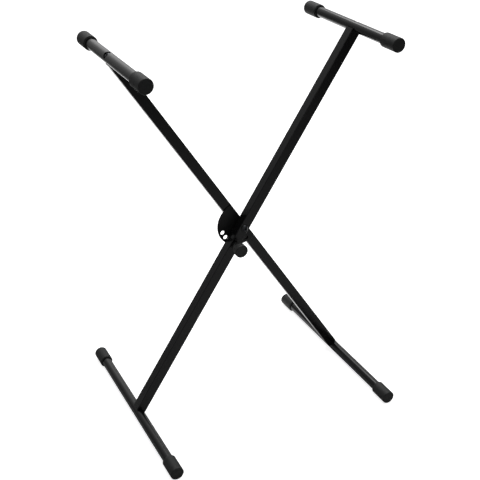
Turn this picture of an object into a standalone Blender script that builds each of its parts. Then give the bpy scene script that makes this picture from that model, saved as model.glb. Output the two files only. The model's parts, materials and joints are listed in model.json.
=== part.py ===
"""Folding X-shaped keyboard stand with a pull-pin lock.

Two square-tube arms cross at a pivot bolt. Each arm end is coped round a cross tube and bolted to
it: support tubes on top, foot tubes below, every tube closed by two rubber caps. A spring-loaded pin
on the front arm enters one of the holes of a plate on the rear arm and holds the stand open.

Units are metres, +Z up, +X to the right and +Y away from the viewer. The origin lies on the floor
under the middle of the stand. Each arm has a frame of its own, with its origin on the pivot axis and
its Z axis along the arm, and each cross tube has a level frame of its own at the end of its arm.
"""

from math import acos, atan2, cos, hypot, pi, radians, sin, sqrt

import bmesh
import bpy
from mathutils import Matrix, Vector

# Driving dimensions
ARM_TO_SUPPORT = 0.535      # pivot axis to support tube axis
ARM_TO_FOOT = 0.544         # pivot axis to foot tube axis
HALF_ANGLE = radians(33.06) # each arm from the vertical
ARM_SIZE = 0.0254           # square tube, outside
ARM_WALL = 0.0012
ARM_CORNER = 0.0015
ARM_GAP = 0.0064            # clear space between the two arms
TUBE_RADIUS = 0.0125
TUBE_WALL = 0.0012
SUPPORT_LENGTH = 0.376      # over its two caps
FOOT_LENGTH = 0.535         # over its two caps
RIGHT_FOOT_SHIFT = 0.0072   # the right foot sits this much further back
CAP_RADIUS = 0.0166
CAP_LENGTH = 0.051
CAP_END = 0.005             # thickness of the closed end
CAP_EDGE = 0.0024
CAP_CHAMFER = 0.0026
CLEAR = 0.0003              # between pieces that touch
SIDES = 32                  # facets round a tube or cap, with a flat straight up and down
SMALL_SIDES = 20            # facets round a bolt, sleeve or hole
SHARP_ANGLE = radians(40)   # edges sharper than this are shaded as corners

# Bolts and their sockets
BOLT_RADIUS = 0.004
BOLT_HOLE_RADIUS = 0.0044
BOLT_TIP = 0.0008           # chamfer at the end of the thread
HEAD_RIM = 0.0008           # upright edge below a head's dome
HEAD_FLAT = 0.52            # radius of the flat round the socket, as a share of the head's
HEAD_STEPS = 4              # facets from the rim up to that flat
SOCKET_DEPTH = 0.55         # as a share of the head's height
CUTTER_RISE = 0.002         # a socket's cutter stands this far out of the head

# Bolted joint of a cross tube, measured from the tube axis along the arm, outwards
TUBE_HEAD_RADIUS = 0.007
TUBE_HEAD_HEIGHT = 0.0044
TUBE_HEAD_TOP = 0.0116
TUBE_SOCKET_FLATS = 0.005
TUBE_BOLT_END = 0.0285
ACCESS_RADIUS = 0.009
SLEEVE_RADIUS = 0.007
SLEEVE_SEAT = 0.0005        # sleeve end to the tube's inner wall
INSERT_LENGTH = 0.014
INSERT_TO_TUBE = 0.001
ARM_END_TO_AXIS = 0.0075    # the coped walls stop this far from the tube axis

# Pivot
PIVOT_BOLT_RADIUS = 0.005
PIVOT_HOLE_RADIUS = 0.0054
PIVOT_HEAD_RADIUS = 0.00875
PIVOT_HEAD_HEIGHT = 0.0055
PIVOT_SOCKET_FLATS = 0.006
PIVOT_BOLT_END = 0.018      # from the middle of the gap
PIVOT_SLEEVE_RADIUS = 0.0083
WASHER_RADIUS = 0.012
NUT_BARREL_RADIUS = 0.0066
NUT_BARREL_START = 0.010
NUT_SPARE_THREAD = 0.001

# Locking plate
PLATE_RADIUS = 0.058
PLATE_THICKNESS = 0.0025
PLATE_CHORD = 0.0122        # the straight edge, from the pivot
PLATE_STEPS = 44            # facets round the plate
HOLE_CIRCLE = 0.0475        # pin and its holes, from the pivot
HOLE_PITCH = radians(19)
HOLE_STEPS = (-3, -1, 0, 1, 2)  # in pitches from the hole in use; the first holds it folded
HOLE_RADIUS = 0.0056

# Plunger, measured along Y
PIN_RADIUS = 0.005
PIN_CHAMFER = 0.0012
PIN_WITHDRAWN = 0.0005      # tip to plate in the modelled pose
PIN_STROKE_IN = 0.003       # from the modelled pose to fully locked
GROOVE_DEPTH = 0.0008
RING_THICKNESS = 0.0012
RING_RADIUS = 0.008
BUSH_FLANGE_RADIUS = 0.009
BUSH_FLANGE_THICKNESS = 0.0018
BUSH_BARREL_RADIUS = 0.007
BUSH_BARREL_LENGTH = 0.0035
KNOB_RADIUS = 0.0162
KNOB_FACE = 0.0372          # knob's face in front of the arm's face
KNOB_HEAD = 0.0164
KNOB_RIM_RADIUS = 0.0127    # inner edge of the raised rim
KNOB_DISH = 0.001
KNOB_FILLET = 0.0022
KNOB_EDGE = 0.0012
KNOB_BORE_DEPTH = 0.007     # face to the end of the pin's bore
KNOB_NECK_RADIUS = 0.0105
KNOB_NECK_TAPER = 0.001
KNOB_STANDOFF = 0.0006      # neck to bush when fully locked
WIRE_RADIUS = 0.00065
SPRING_RADIUS = 0.0068      # to the wire's centre
SPRING_TURNS = 6.5
POINTS_A_TURN = 10

# Places that follow from them
ARM_HALF = ARM_SIZE / 2
GAP_HALF = ARM_GAP / 2
FRONT_ARM_Y = -(GAP_HALF + ARM_HALF)
REAR_ARM_Y = -FRONT_ARM_Y
FRONT_FACE_Y = FRONT_ARM_Y - ARM_HALF
PIVOT_Y = -RIGHT_FOOT_SHIFT / 2
PIVOT_Z = ARM_TO_FOOT * cos(HALF_ANGLE) + CAP_RADIUS
BOLT_BORE = BOLT_RADIUS + CLEAR
PIVOT_BORE = PIVOT_BOLT_RADIUS + CLEAR
NUT_BORE = NUT_BARREL_RADIUS + CLEAR
PIN_BORE = PIN_RADIUS + CLEAR
PLATE_BACK = GAP_HALF - CLEAR
PLATE_FRONT = PLATE_BACK - PLATE_THICKNESS
PIN_TIP = PLATE_FRONT - PIN_WITHDRAWN
KNOB_FRONT = FRONT_FACE_Y - KNOB_FACE


def clear_scene():
    for item in list(bpy.data.objects):
        bpy.data.objects.remove(item, do_unlink=True)


def finish(name, colour, roughness, metallic):
    """A Principled material; the colour is linear RGB."""
    material = bpy.data.materials.new(name)
    material.use_nodes = True
    shader = material.node_tree.nodes["Principled BSDF"]
    shader.inputs["Base Color"].default_value = (*colour, 1.0)
    shader.inputs["Roughness"].default_value = roughness
    shader.inputs["Metallic"].default_value = metallic
    return material


def make_finishes():
    return {
        "paint": finish("black_gloss_paint", (0.012, 0.012, 0.013), 0.3, 0.0),
        "plate": finish("black_painted_plate", (0.010, 0.010, 0.011), 0.35, 0.0),
        "rubber": finish("black_rubber", (0.020, 0.020, 0.020), 0.7, 0.0),
        "bolt": finish("blackened_bolt_steel", (0.06, 0.06, 0.065), 0.35, 1.0),
        "zinc": finish("zinc_plated_steel", (0.55, 0.56, 0.58), 0.3, 1.0),
        "spring": finish("spring_steel", (0.4, 0.4, 0.42), 0.3, 1.0),
        "knob": finish("black_moulded_plastic", (0.018, 0.018, 0.019), 0.5, 0.0),
        "insert": finish("plain_steel", (0.35, 0.35, 0.36), 0.45, 1.0),
    }


def frame(name, parent=None, place=(0, 0, 0), turn_y=0.0):
    """An empty that carries pieces, turned about its own Y axis."""
    empty = bpy.data.objects.new(name, None)
    bpy.context.scene.collection.objects.link(empty)
    empty.parent = parent
    empty.location = place
    empty.rotation_euler = (0, turn_y, 0)
    return empty


def piece(name, mesh, parent, material, place=(0, 0, 0), turn=(0, 0, 0)):
    """An object for one mesh, smooth shaded over its gentle edges."""
    if material is not None and not mesh.materials:
        mesh.materials.append(material)
    mesh.shade_smooth()
    mesh.set_sharp_from_angle(angle=SHARP_ANGLE)
    item = bpy.data.objects.new(name, mesh)
    bpy.context.scene.collection.objects.link(item)
    item.parent = parent
    item.location = place
    item.rotation_euler = turn
    return item


def cut(item, cutter):
    """Take the cutter's volume out of the item."""
    cutter.hide_render = True
    cutter.display_type = "WIRE"
    boolean = item.modifiers.new("cut " + cutter.name, "BOOLEAN")
    boolean.operation = "DIFFERENCE"
    boolean.solver = "EXACT"
    boolean.object = cutter


def to_mesh(name, shape):
    bmesh.ops.recalc_face_normals(shape, faces=shape.faces)
    mesh = bpy.data.meshes.new(name)
    shape.to_mesh(mesh)
    shape.free()
    return mesh


def turned(name, profile, sides=SIDES):
    """Revolve a closed (radius, height) outline about Z.

    The flats of the facets touch the given radii, and one of them faces +X.
    """
    shape = bmesh.new()
    widen = 1 / cos(pi / sides)
    start = Matrix.Rotation(pi / sides, 4, "Z")
    ring = [shape.verts.new(start @ Vector((radius * widen, 0, height))) for radius, height in profile]
    edges = [shape.edges.new((a, b)) for a, b in zip(ring, ring[1:])]
    if profile[0][0] > 0:
        edges.append(shape.edges.new((ring[-1], ring[0])))
    bmesh.ops.spin(
        shape, geom=ring + edges, cent=(0, 0, 0), axis=(0, 0, 1), angle=2 * pi, steps=sides
    )
    bmesh.ops.remove_doubles(shape, verts=shape.verts, dist=1e-6)
    return to_mesh(name, shape)


def pipe(name, outer, inner, length):
    """A straight tube about Z, centred, open at both ends."""
    low, high = -length / 2, length / 2
    return turned(name, [(inner, low), (outer, low), (outer, high), (inner, high)])


def rod(name, radius, low, high, sides=SIDES):
    return turned(name, [(0, low), (radius, low), (radius, high), (0, high)], sides)


def arc(centre, radius, start, end, steps):
    """Points on a circle, from one angle to another, both ends included."""
    angles = [start + (end - start) * i / steps for i in range(steps + 1)]
    return [(centre[0] + radius * cos(a), centre[1] + radius * sin(a)) for a in angles]


def rounded_square(size, corner, steps=4):
    """Outline of a square with round corners, anticlockwise, centred."""
    reach = size / 2 - corner
    outline = []
    for quarter in range(4):
        start = quarter * pi / 2
        centre = (reach * (1, -1, -1, 1)[quarter], reach * (1, 1, -1, -1)[quarter])
        outline += arc(centre, corner, start, start + pi / 2, steps)
    return outline


def extruded(name, outline, low, high, inner=None):
    """Extrude an outline in XY along Z, hollow where an inner outline of as many points is given."""
    shape = bmesh.new()
    outer_ring = [shape.verts.new((x, y, low)) for x, y in outline]
    if inner:
        inner_ring = [shape.verts.new((x, y, low)) for x, y in inner]
        count = len(outline)
        for i in range(count):
            j = (i + 1) % count
            shape.faces.new((outer_ring[i], outer_ring[j], inner_ring[j], inner_ring[i]))
    else:
        shape.faces.new(outer_ring)
    base = list(shape.faces)
    grown = bmesh.ops.extrude_face_region(shape, geom=base, use_keep_orig=True)
    moved = [g for g in grown["geom"] if isinstance(g, bmesh.types.BMVert)]
    bmesh.ops.translate(shape, verts=moved, vec=(0, 0, high - low))
    return to_mesh(name, shape)


def make_arm(name, carrier, centre_y, tube_axes, material):
    """A square tube whose two ends are coped round the cross tubes."""
    top, bottom = tube_axes
    outline = rounded_square(ARM_SIZE, ARM_CORNER)
    inside = rounded_square(ARM_SIZE - 2 * ARM_WALL, ARM_CORNER - ARM_WALL)
    mesh = extruded(name, outline, ARM_END_TO_AXIS - bottom, top - ARM_END_TO_AXIS, inside)
    arm = piece(name, mesh, carrier, material, place=(0, centre_y, 0))
    for label, height in (("top", top), ("bottom", -bottom)):
        cope = rod(f"{name}_{label}_cope", TUBE_RADIUS + CLEAR, -ARM_SIZE, ARM_SIZE)
        cutter = piece(
            f"{name}_{label}_cope", cope, carrier, None, (0, centre_y, height), (pi / 2, 0, 0)
        )
        cut(arm, cutter)
    return arm


def make_cross_tube(name, level, length, outwards, arm_y, material):
    """A round tube along Y with an access hole outside and a bolt hole on the arm's side.

    outwards is the angle, about Y from straight up, at which the arm's axis leaves the tube.
    """
    bare = length - 2 * (CAP_END + CLEAR)
    mesh = pipe(name, TUBE_RADIUS, TUBE_RADIUS - TUBE_WALL, bare)
    tube = piece(name, mesh, level, material, turn=(pi / 2, 0, 0))
    reach = 2 * TUBE_RADIUS
    profile = [(0, -reach), (BOLT_HOLE_RADIUS, -reach), (BOLT_HOLE_RADIUS, 0)]
    profile += [(ACCESS_RADIUS, 0), (ACCESS_RADIUS, reach), (0, reach)]
    drill = turned(name + "_drill", profile)
    cut(tube, piece(name + "_drill", drill, level, None, (0, arm_y, 0), (0, outwards, 0)))


def cap_mesh():
    """A thick rubber cup: closed end at z = 0, open end with a chamfered lip."""
    edge = arc((CAP_RADIUS - CAP_EDGE, CAP_EDGE), CAP_EDGE, -pi / 2, 0, 3)
    bore = TUBE_RADIUS + CLEAR
    profile = [(0, 0)] + edge
    profile += [(CAP_RADIUS, CAP_LENGTH - CAP_CHAMFER), (CAP_RADIUS - CAP_CHAMFER, CAP_LENGTH)]
    profile += [(bore, CAP_LENGTH), (bore, CAP_END), (0, CAP_END)]
    return turned("end_cap", profile)


def make_caps(name, level, length, mesh, material):
    """The two caps of one cross tube."""
    for side, sign in (("front", -1), ("rear", 1)):
        place, turn = (0, sign * length / 2, 0), (sign * pi / 2, 0, 0)
        piece(f"{name}_{side}_cap", mesh, level, material, place, turn)


def button_head(radius, seat, top):
    """Outline of a domed bolt head, from its seat out and round to the axis."""
    flat, rim = HEAD_FLAT * radius, seat + HEAD_RIM
    # height of the centre, on the axis, of the circle that joins the rim to the flat
    centre = (radius**2 - flat**2 + rim**2 - top**2) / (2 * (rim - top))
    low, high = atan2(rim - centre, radius), atan2(top - centre, flat)
    dome = arc((0, centre), hypot(flat, top - centre), low, high, HEAD_STEPS)
    return [(radius, seat)] + dome + [(0, top)]


def cut_socket(bolt, carrier, flats, seat, top, place, turn):
    """Sink a hexagon socket into a head that reaches from its seat to its top."""
    low, high = top - SOCKET_DEPTH * (top - seat), top + CUTTER_RISE
    name = bolt.name + "_socket"
    mesh = turned(name, [(0, low), (flats / 2, low), (flats / 2, high), (0, high)], sides=6)
    cut(bolt, piece(name, mesh, carrier, None, place, turn))


def make_tube_bolt(name, level, outwards, arm_y, finishes):
    """Button-head socket bolt, its crush sleeve and the threaded insert, along the arm's axis."""
    place, turn = (0, arm_y, 0), (0, outwards, 0)
    seat = TUBE_HEAD_TOP - TUBE_HEAD_HEIGHT
    tip = BOLT_TIP - TUBE_BOLT_END
    profile = [(0, -TUBE_BOLT_END), (BOLT_RADIUS - BOLT_TIP, -TUBE_BOLT_END), (BOLT_RADIUS, tip)]
    profile += [(BOLT_RADIUS, seat)] + button_head(TUBE_HEAD_RADIUS, seat, TUBE_HEAD_TOP)
    mesh = turned(name + "_bolt", profile, SMALL_SIDES)
    bolt = piece(name + "_bolt", mesh, level, finishes["bolt"], place, turn)
    cut_socket(bolt, level, TUBE_SOCKET_FLATS, seat, TUBE_HEAD_TOP, place, turn)

    foot = sqrt((TUBE_RADIUS - TUBE_WALL) ** 2 - SLEEVE_RADIUS**2) - SLEEVE_SEAT
    top = seat - CLEAR
    profile = [(BOLT_BORE, -foot), (SLEEVE_RADIUS, -foot), (SLEEVE_RADIUS, top), (BOLT_BORE, top)]
    mesh = turned(name + "_sleeve", profile, SMALL_SIDES)
    piece(name + "_sleeve", mesh, level, finishes["zinc"], place, turn)

    size = ARM_SIZE - 2 * (ARM_WALL + CLEAR)
    upper = -(TUBE_RADIUS + INSERT_TO_TUBE)
    outline = rounded_square(size, ARM_CORNER - ARM_WALL, 2)
    block = extruded(name + "_insert", outline, upper - INSERT_LENGTH, upper)
    insert = piece(name + "_insert", block, level, finishes["insert"], place, turn)
    thread = rod(name + "_thread", BOLT_BORE, upper - 2 * INSERT_LENGTH, 0, SMALL_SIDES)
    cut(insert, piece(name + "_thread", thread, level, None, place, turn))


def along_y(name, mesh, carrier, material, x=0.0, z=0.0):
    """Place a turned mesh with its Z axis along +Y of its carrier."""
    return piece(name, mesh, carrier, material, (x, 0, z), (-pi / 2, 0, 0))


def make_locking_plate(carrier, material):
    """A disc cut straight along the rear arm's edge, with the ring of pin holes."""
    corner = acos(PLATE_CHORD / PLATE_RADIUS)
    outline = arc((0, 0), PLATE_RADIUS, corner, 2 * pi - corner, PLATE_STEPS)
    # the outline lies in XY; turned about X it stands in the arm's XZ plane, back face at PLATE_BACK
    mesh = extruded("locking_plate", outline, -PLATE_BACK, -PLATE_FRONT)
    plate = piece("locking_plate", mesh, carrier, material, turn=(pi / 2, 0, 0))
    centre = rod("plate_pivot_drill", PIVOT_HOLE_RADIUS, -ARM_SIZE, ARM_SIZE, SMALL_SIDES)
    cut(plate, along_y("plate_pivot_drill", centre, carrier, None))
    for number, step in enumerate(HOLE_STEPS, start=1):
        angle = 2 * HALF_ANGLE + step * HOLE_PITCH
        name = f"plate_pin_drill_{number}"
        drill = rod(name, HOLE_RADIUS, -ARM_SIZE, ARM_SIZE, SMALL_SIDES)
        cut(plate, along_y(name, drill, carrier, None, -HOLE_CIRCLE * sin(angle), -HOLE_CIRCLE * cos(angle)))


def drill_pivot(arm, carrier, side, outer_hole):
    """Holes in the arm's inner wall and, of the given radius, its outer one; side is -1 for front."""
    reach = 2 * ARM_SIZE
    middle = GAP_HALF + ARM_HALF
    profile = [(0, 0), (PIVOT_HOLE_RADIUS, 0), (PIVOT_HOLE_RADIUS, middle)]
    profile += [(outer_hole, middle), (outer_hole, reach), (0, reach)]
    mesh = turned(arm.name + "_pivot_drill", profile, SMALL_SIDES)
    cut(arm, piece(mesh.name, mesh, carrier, None, turn=(-side * pi / 2, 0, 0)))


def make_pivot(front, rear, finishes):
    """Bolt, nut and washer on the rear arm, and one sleeve inside each arm."""
    seat = GAP_HALF + ARM_SIZE + CLEAR
    top = seat + PIVOT_HEAD_HEIGHT
    head = button_head(PIVOT_HEAD_RADIUS, seat, top)
    forwards, backwards = (pi / 2, 0, 0), (-pi / 2, 0, 0)

    profile = [(0, -PIVOT_BOLT_END), (PIVOT_BOLT_RADIUS, -PIVOT_BOLT_END), (PIVOT_BOLT_RADIUS, seat)]
    mesh = turned("pivot_bolt", profile + head, SMALL_SIDES)
    bolt = piece("pivot_bolt", mesh, rear, finishes["bolt"], turn=forwards)
    cut_socket(bolt, rear, PIVOT_SOCKET_FLATS, seat, top, (0, 0, 0), forwards)

    bore_end = PIVOT_BOLT_END + NUT_SPARE_THREAD
    profile = [(0, bore_end), (PIVOT_BORE, bore_end), (PIVOT_BORE, NUT_BARREL_START)]
    profile += [(NUT_BARREL_RADIUS, NUT_BARREL_START), (NUT_BARREL_RADIUS, seat)]
    mesh = turned("pivot_nut", profile + head, SMALL_SIDES)
    nut = piece("pivot_nut", mesh, rear, finishes["bolt"], turn=backwards)
    cut_socket(nut, rear, PIVOT_SOCKET_FLATS, seat, top, (0, 0, 0), backwards)

    inner, outer = GAP_HALF + ARM_WALL + CLEAR, GAP_HALF + ARM_SIZE - ARM_WALL - CLEAR
    for name, carrier, turn, hole in (
        ("front_pivot_sleeve", front, forwards, PIVOT_BORE),
        ("rear_pivot_sleeve", rear, backwards, NUT_BORE),
    ):
        profile = [(hole, inner), (PIVOT_SLEEVE_RADIUS, inner), (PIVOT_SLEEVE_RADIUS, outer), (hole, outer)]
        piece(name, turned(name, profile, SMALL_SIDES), carrier, finishes["zinc"], turn=turn)

    front_face, rear_face = CLEAR - GAP_HALF, PLATE_FRONT - CLEAR
    profile = [(PIVOT_BORE, front_face), (WASHER_RADIUS, front_face)]
    profile += [(WASHER_RADIUS, rear_face), (PIVOT_BORE, rear_face)]
    along_y("pivot_washer", turned("pivot_washer", profile), rear, finishes["zinc"])


def knob_mesh():
    """A mushroom knob: dished face with a raised rim, rounded head and a tapered neck."""
    back = KNOB_FRONT + KNOB_HEAD
    neck_end = FRONT_FACE_Y - CLEAR - BUSH_FLANGE_THICKNESS - KNOB_STANDOFF - PIN_STROKE_IN
    bore_end = KNOB_FRONT + KNOB_BORE_DEPTH
    dish = KNOB_FRONT + KNOB_DISH
    profile = [(0, dish), (KNOB_RIM_RADIUS - KNOB_EDGE, dish), (KNOB_RIM_RADIUS, KNOB_FRONT)]
    profile += arc((KNOB_RADIUS - KNOB_FILLET, KNOB_FRONT + KNOB_FILLET), KNOB_FILLET, -pi / 2, 0, 3)
    profile += [(KNOB_RADIUS, back - KNOB_EDGE), (KNOB_RADIUS - KNOB_EDGE, back)]
    profile += [(KNOB_NECK_RADIUS + KNOB_NECK_TAPER, back), (KNOB_NECK_RADIUS - KNOB_NECK_TAPER, neck_end)]
    profile += [(PIN_BORE, neck_end), (PIN_BORE, bore_end), (0, bore_end)]
    return turned("pull_knob", profile)


def make_plunger(front, finishes):
    """Pin, knob and ring that slide together, with their bush and spring in the front arm."""
    carrier = frame("plunger_axis", front, (0, 0, -HOLE_CIRCLE))
    ring_back = -GAP_HALF - ARM_WALL - CLEAR - PIN_STROKE_IN
    ring_front = ring_back - RING_THICKNESS
    groove = PIN_RADIUS - GROOVE_DEPTH
    tail = KNOB_FRONT + KNOB_BORE_DEPTH + CLEAR
    profile = [(0, tail), (PIN_RADIUS, tail), (PIN_RADIUS, ring_front - CLEAR), (groove, ring_front - CLEAR)]
    profile += [(groove, ring_back + CLEAR), (PIN_RADIUS, ring_back + CLEAR)]
    profile += [(PIN_RADIUS, PIN_TIP - PIN_CHAMFER), (PIN_RADIUS - PIN_CHAMFER, PIN_TIP), (0, PIN_TIP)]
    along_y("locking_pin", turned("locking_pin", profile, SMALL_SIDES), carrier, finishes["zinc"])

    hole = groove + CLEAR
    profile = [(hole, ring_front), (RING_RADIUS, ring_front), (RING_RADIUS, ring_back), (hole, ring_back)]
    along_y("pin_ring", turned("pin_ring", profile, SMALL_SIDES), carrier, finishes["spring"])
    along_y("pull_knob", knob_mesh(), carrier, finishes["knob"])

    face, end = FRONT_FACE_Y - CLEAR, FRONT_FACE_Y + BUSH_BARREL_LENGTH
    lip = face - BUSH_FLANGE_THICKNESS
    profile = [(PIN_BORE, lip), (BUSH_FLANGE_RADIUS, lip), (BUSH_FLANGE_RADIUS, face)]
    profile += [(BUSH_BARREL_RADIUS, face), (BUSH_BARREL_RADIUS, end), (PIN_BORE, end)]
    along_y("pin_bush", turned("pin_bush", profile, SMALL_SIDES), carrier, finishes["knob"])
    make_spring(carrier, end + CLEAR, ring_front - CLEAR, finishes["spring"])


def make_spring(carrier, start, end, material):
    """A compression spring about the carrier's Y axis, as one round wire."""
    low, high = start + WIRE_RADIUS, end - WIRE_RADIUS
    steps = int(SPRING_TURNS * POINTS_A_TURN)
    curve = bpy.data.curves.new("pin_spring", "CURVE")
    curve.dimensions = "3D"
    curve.bevel_depth = WIRE_RADIUS
    curve.bevel_resolution = 1
    curve.use_fill_caps = True
    line = curve.splines.new("POLY")
    line.points.add(steps)
    for i, point in enumerate(line.points):
        angle = 2 * pi * i / POINTS_A_TURN
        height = low + (high - low) * i / steps
        point.co = (SPRING_RADIUS * cos(angle), height, SPRING_RADIUS * sin(angle), 1)
    curve.materials.append(material)
    spring = bpy.data.objects.new("pin_spring", curve)
    bpy.context.scene.collection.objects.link(spring)
    spring.parent = carrier
    points = [point.co.xyz for point in line.points]
    half_turn = POINTS_A_TURN // 2
    apart = [(b - a).length for i, a in enumerate(points) for b in points[i + half_turn :]]
    print("least gap between spring turns, mm:", round((min(apart) - 2 * WIRE_RADIUS) * 1000, 3))


def drill_pin_holes(arm, carrier):
    """A hole for the bush in the front wall and one for the pin in the back wall."""
    bush = BUSH_BARREL_RADIUS + CLEAR
    reach = 2 * ARM_SIZE
    profile = [(0, -reach), (bush, -reach), (bush, FRONT_ARM_Y), (PIN_BORE, FRONT_ARM_Y)]
    profile += [(PIN_BORE, 0), (0, 0)]
    mesh = turned("pin_drill", profile, SMALL_SIDES)
    cut(arm, along_y("pin_drill", mesh, carrier, None, z=-HOLE_CIRCLE))


def make_side(arm_frame, arm_y, lean, ends, cap, finishes):
    """The cross tubes of one arm with their caps and bolts.

    lean is the arm's angle from the vertical about Y. ends lists (name, place along the arm,
    length over caps, shift along Y).
    """
    for name, along, length, shift in ends:
        level = frame(name + "_axis", arm_frame, (0, shift, along), -lean)
        outwards = lean if along > 0 else lean + pi
        local_arm_y = arm_y - shift
        make_cross_tube(name + "_tube", level, length, outwards, local_arm_y, finishes["paint"])
        make_caps(name, level, length, cap, finishes["rubber"])
        make_tube_bolt(name, level, outwards, local_arm_y, finishes)


def main():
    clear_scene()
    finishes = make_finishes()
    cap = cap_mesh()
    pivot = (0, PIVOT_Y, PIVOT_Z)
    axes = (ARM_TO_SUPPORT, ARM_TO_FOOT)

    rear = frame("rear_arm_axis", None, pivot, -HALF_ANGLE)
    rear_arm = make_arm("rear_arm", rear, REAR_ARM_Y, axes, finishes["paint"])
    drill_pivot(rear_arm, rear, 1, NUT_BORE)
    rear_ends = (
        ("left_support", ARM_TO_SUPPORT, SUPPORT_LENGTH, 0.0),
        ("right_foot", -ARM_TO_FOOT, FOOT_LENGTH, RIGHT_FOOT_SHIFT),
    )
    make_side(rear, REAR_ARM_Y, -HALF_ANGLE, rear_ends, cap, finishes)
    make_locking_plate(rear, finishes["plate"])

    front = frame("front_arm_axis", None, pivot, HALF_ANGLE)
    front_arm = make_arm("front_arm", front, FRONT_ARM_Y, axes, finishes["paint"])
    drill_pivot(front_arm, front, -1, PIVOT_HOLE_RADIUS)
    drill_pin_holes(front_arm, front)
    front_ends = (
        ("right_support", ARM_TO_SUPPORT, SUPPORT_LENGTH, 0.0),
        ("left_foot", -ARM_TO_FOOT, FOOT_LENGTH, 0.0),
    )
    make_side(front, FRONT_ARM_Y, HALF_ANGLE, front_ends, cap, finishes)
    make_pivot(front, rear, finishes)
    make_plunger(front, finishes)


main()
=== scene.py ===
"""Folding X-shaped keyboard stand: finished pieces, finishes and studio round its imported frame.

Every size is in metres. A piece is modelled upright about Z, as its maker would draw it, and is then
set in place. Each arm has a setting of its own, with its origin on the pivot and Z along the arm.
"""

import json
from math import atan2, cos, hypot, pi, radians, sin, tan

import bmesh
import bpy
from bpy.props import FloatProperty, FloatVectorProperty, IntProperty, PointerProperty, StringProperty
from mathutils import Matrix, Vector


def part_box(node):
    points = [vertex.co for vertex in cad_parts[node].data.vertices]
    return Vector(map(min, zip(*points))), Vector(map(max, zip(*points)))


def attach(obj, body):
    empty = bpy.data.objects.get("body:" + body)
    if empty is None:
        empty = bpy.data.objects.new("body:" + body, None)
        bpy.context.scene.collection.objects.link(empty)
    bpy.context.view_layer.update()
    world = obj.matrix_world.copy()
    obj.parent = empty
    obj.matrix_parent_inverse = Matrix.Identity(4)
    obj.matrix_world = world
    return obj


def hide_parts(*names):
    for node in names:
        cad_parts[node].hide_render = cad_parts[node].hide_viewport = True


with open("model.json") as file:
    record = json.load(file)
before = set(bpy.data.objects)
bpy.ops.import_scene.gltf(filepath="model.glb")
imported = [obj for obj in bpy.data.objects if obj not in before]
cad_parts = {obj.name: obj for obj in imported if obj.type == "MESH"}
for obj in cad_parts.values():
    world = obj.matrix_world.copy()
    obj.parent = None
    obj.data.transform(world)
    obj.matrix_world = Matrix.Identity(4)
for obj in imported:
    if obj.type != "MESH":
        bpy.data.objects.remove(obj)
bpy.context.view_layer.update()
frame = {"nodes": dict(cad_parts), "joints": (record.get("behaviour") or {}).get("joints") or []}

bl_info = {
    "name": "Keyboard Stand",
    "version": (1, 0, 0),
    "blender": (4, 5, 0),
    "location": "3D View > Sidebar > Stand",
    "description": "Models a folding keyboard stand round its packed frame and sets up its studio",
    "category": "Add Mesh",
}

TUBES = ("left_support", "right_support", "left_foot", "right_foot")
REAR_TUBES = ("left_support", "right_foot")
HOLE_STEPS = (-3, -1, 0, 1, 2)    # holes of the locking plate, in pitches from the one in use
PLATE_STEPS = 160                 # steps round the locking plate
HEAD_FLAT = 0.52                  # radius of the flat round a bolt's socket, as a share of the head's
HEAD_RIM = 0.0008                 # upright edge below a bolt head's dome
BOLT_TIP = 0.0008                 # chamfer at the end of a bolt
BUSH_BARREL = 0.007               # radius of the pin bush inside the arm's wall
BACKDROP_FALL = 5.0               # how fast the backdrop darkens away from its middle
TINY = 1e-6                       # merge distance


def joint_named(name):
    return next(joint for joint in frame["joints"] if joint["name"] == name)


def span(node, axis):
    """Lowest and highest place of a CAD node along one axis."""
    low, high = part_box(node)
    return low[axis], high[axis]


def middle(node):
    low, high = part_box(node)
    return (low + high) / 2


# Places read from the frame
PIVOT = Vector(joint_named("fold")["pos_m"])
ARM_SIZE = span("front_arm", 1)[1] - span("front_arm", 1)[0]
ARM_MIDDLE_Y = {"front": middle("front_arm").y, "rear": middle("rear_arm").y}
TUBE_RADIUS = (span("left_foot_tube", 2)[1] - span("left_foot_tube", 2)[0]) / 2
CAP_RADIUS = (span("left_foot_front_cap", 2)[1] - span("left_foot_front_cap", 2)[0]) / 2
CAP_LENGTH = span("left_foot_front_cap", 1)[1] - span("left_foot_front_cap", 1)[0]
GAP_HALF = PIVOT.y - span("front_arm", 1)[1]
FRONT_FACE = span("front_arm", 1)[0] - PIVOT.y
KNOB_FRONT = span("pull_knob", 1)[0] - PIVOT.y
KNOB_END = span("pull_knob", 1)[1] - PIVOT.y
KNOB_RADIUS = (span("pull_knob", 0)[1] - span("pull_knob", 0)[0]) / 2
PLATE_FACES = tuple(y - PIVOT.y for y in span("locking_plate", 1))
PIN_TIP = span("locking_pin", 1)[1] - PIVOT.y
PIN_TAIL = span("locking_pin", 1)[0] - PIVOT.y
BUSH_FACES = tuple(y - PIVOT.y for y in span("pin_bush", 1))
WASHER_FACES = tuple(y - PIVOT.y for y in span("pivot_washer", 1))
PIVOT_HEAD = PIVOT.y - span("pivot_bolt", 1)[0]
PIVOT_BOLT_END = span("pivot_bolt", 1)[1] - PIVOT.y


def arm_of(tube):
    return "rear" if tube in REAR_TUBES else "front"


def body_of(arm):
    return arm + "_frame"


def lean_of(arm):
    """The angle of an arm from the vertical, about Y."""
    top = middle("left_support_tube") if arm == "rear" else middle("right_support_tube")
    return atan2(top.x - PIVOT.x, top.z - PIVOT.z)


def arm_setting(arm):
    """The place of an arm: origin on the pivot in the stand's middle plane, Z along the arm."""
    return Matrix.Translation(PIVOT) @ Matrix.Rotation(lean_of(arm), 4, "Y")


def reach_of(tube):
    """Distance of a cross tube's axis from the pivot, along its arm."""
    offset = middle(tube + "_tube") - PIVOT
    return hypot(offset.x, offset.z)


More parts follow.
